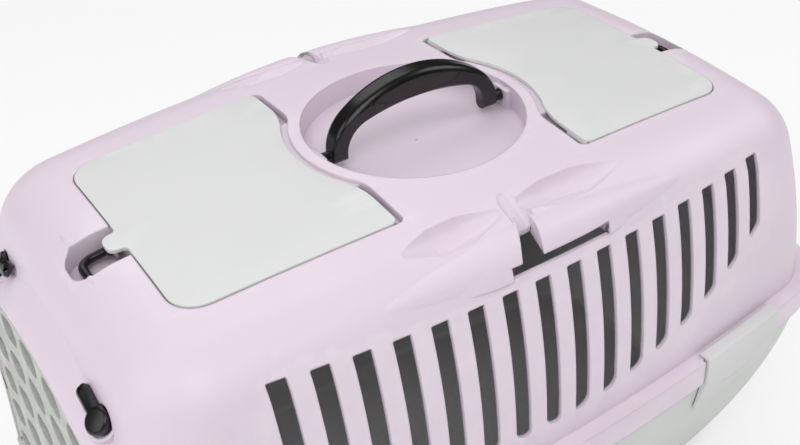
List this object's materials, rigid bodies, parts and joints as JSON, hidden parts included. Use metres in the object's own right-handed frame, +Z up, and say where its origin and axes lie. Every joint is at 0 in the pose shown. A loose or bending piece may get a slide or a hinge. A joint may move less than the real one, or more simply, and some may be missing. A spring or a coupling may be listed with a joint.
{
  "type": "pet carrier",
  "caption": "Two-part plastic pet carrier with a lattice door, side vents, folding carrying handle, lidded roof compartments, belt guides and clips.",
  "frame": {"origin": "middle of the footprint on the surface that the carrier stands on", "axes": "+X along the carrier away from the door, +Y across it, +Z up"},
  "size_m": [0.5656, 0.3538, 0.3692],
  "materials": {
    "shell_lilac": "satin moulded",
    "tray_grey": "satin moulded",
    "lid_grey": "satin moulded",
    "door_grey": "satin moulded",
    "black_plastic": "satin moulded",
    "grip_rubber": "soft matt",
    "steel": "bright drawn",
    "clip_grey": "satin moulded"
  },
  "bodies": {
    "shells": {"upper_shell": "shell_lilac", "lower_shell": "tray_grey", "door_hinge_rod": "steel", "lid_hinge_pins": "steel", "strap_loop_pins": "steel"},
    "door": {"door": "door_grey"},
    "lever_left": {"door_lever_left": "black_plastic", "lever_screw_left": "steel"},
    "lever_right": {"door_lever_right": "black_plastic", "lever_screw_right": "steel"},
    "front_lid": {"front_lid": "lid_grey"},
    "rear_lid": {"rear_lid": "lid_grey"},
    "handle": {"carrying_handle": "black_plastic", "handle_grip_inlay_left": "grip_rubber", "handle_grip_inlay_right": "grip_rubber"},
    "front_loop": {"front_strap_loop": "black_plastic"},
    "rear_loop": {"rear_strap_loop": "black_plastic"},
    "front_clip_left": {"front_clip_left": "clip_grey"},
    "front_clip_right": {"front_clip_right": "clip_grey"},
    "rear_clip_left": {"rear_clip_left": "clip_grey"},
    "rear_clip_right": {"rear_clip_right": "clip_grey"}
  },
  "joints": [
    {"name": "door_swing", "type": "hinge", "parent": "shells", "child": "door", "pos_m": [-0.26891, 0.1164, 0.17241], "axis": [-0.075, 0, -0.9972], "range_deg": [0, 110]},
    {"name": "lever_turn_left", "type": "hinge", "parent": "shells", "child": "lever_left", "pos_m": [-0.25141, -0.083, 0.27648], "axis": [-0.6976, -0.2241, 0.6805], "range_deg": [0, 90]},
    {"name": "lever_turn_right", "type": "hinge", "parent": "shells", "child": "lever_right", "pos_m": [-0.25141, 0.083, 0.27648], "axis": [0.6976, -0.2241, -0.6805], "range_deg": [0, 90]},
    {"name": "front_lid_swing", "type": "hinge", "parent": "shells", "child": "front_lid", "pos_m": [-0.0728, 0, 0.329], "axis": [0, 1, 0], "range_deg": [0, 60]},
    {"name": "rear_lid_swing", "type": "hinge", "parent": "shells", "child": "rear_lid", "pos_m": [0.0728, 0, 0.329], "axis": [0, -1, 0], "range_deg": [0, 60]},
    {"name": "handle_fold", "type": "hinge", "parent": "shells", "child": "handle", "pos_m": [0, 0, 0.326], "axis": [1, 0, 0], "range_deg": [-85, 85]},
    {"name": "front_loop_swing", "type": "hinge", "parent": "shells", "child": "front_loop", "pos_m": [-0.2055, -0.0055, 0.316], "axis": [0, 1, 0], "range_deg": [0, 35]},
    {"name": "rear_loop_swing", "type": "hinge", "parent": "shells", "child": "rear_loop", "pos_m": [0.2055, -0.0055, 0.316], "axis": [0, -1, 0], "range_deg": [0, 35]},
    {"name": "front_clip_left_swing", "type": "hinge", "parent": "shells", "child": "front_clip_left", "pos_m": [-0.16027, -0.16026, 0.121], "axis": [0.9951, -0.0988, 0], "range_deg": [0, 35], "stiffness_Nm_per_rad": 0.4},
    {"name": "front_clip_right_swing", "type": "hinge", "parent": "shells", "child": "front_clip_right", "pos_m": [-0.16027, 0.16026, 0.121], "axis": [-0.9951, -0.0988, 0], "range_deg": [0, 35], "stiffness_Nm_per_rad": 0.4},
    {"name": "rear_clip_left_swing", "type": "hinge", "parent": "shells", "child": "rear_clip_left", "pos_m": [0.16027, -0.16026, 0.121], "axis": [0.9951, 0.0988, 0], "range_deg": [0, 35], "stiffness_Nm_per_rad": 0.4},
    {"name": "rear_clip_right_swing", "type": "hinge", "parent": "shells", "child": "rear_clip_right", "pos_m": [0.16027, 0.16026, 0.121], "axis": [-0.9951, 0.0988, 0], "range_deg": [0, 35], "stiffness_Nm_per_rad": 0.4}
  ]
}
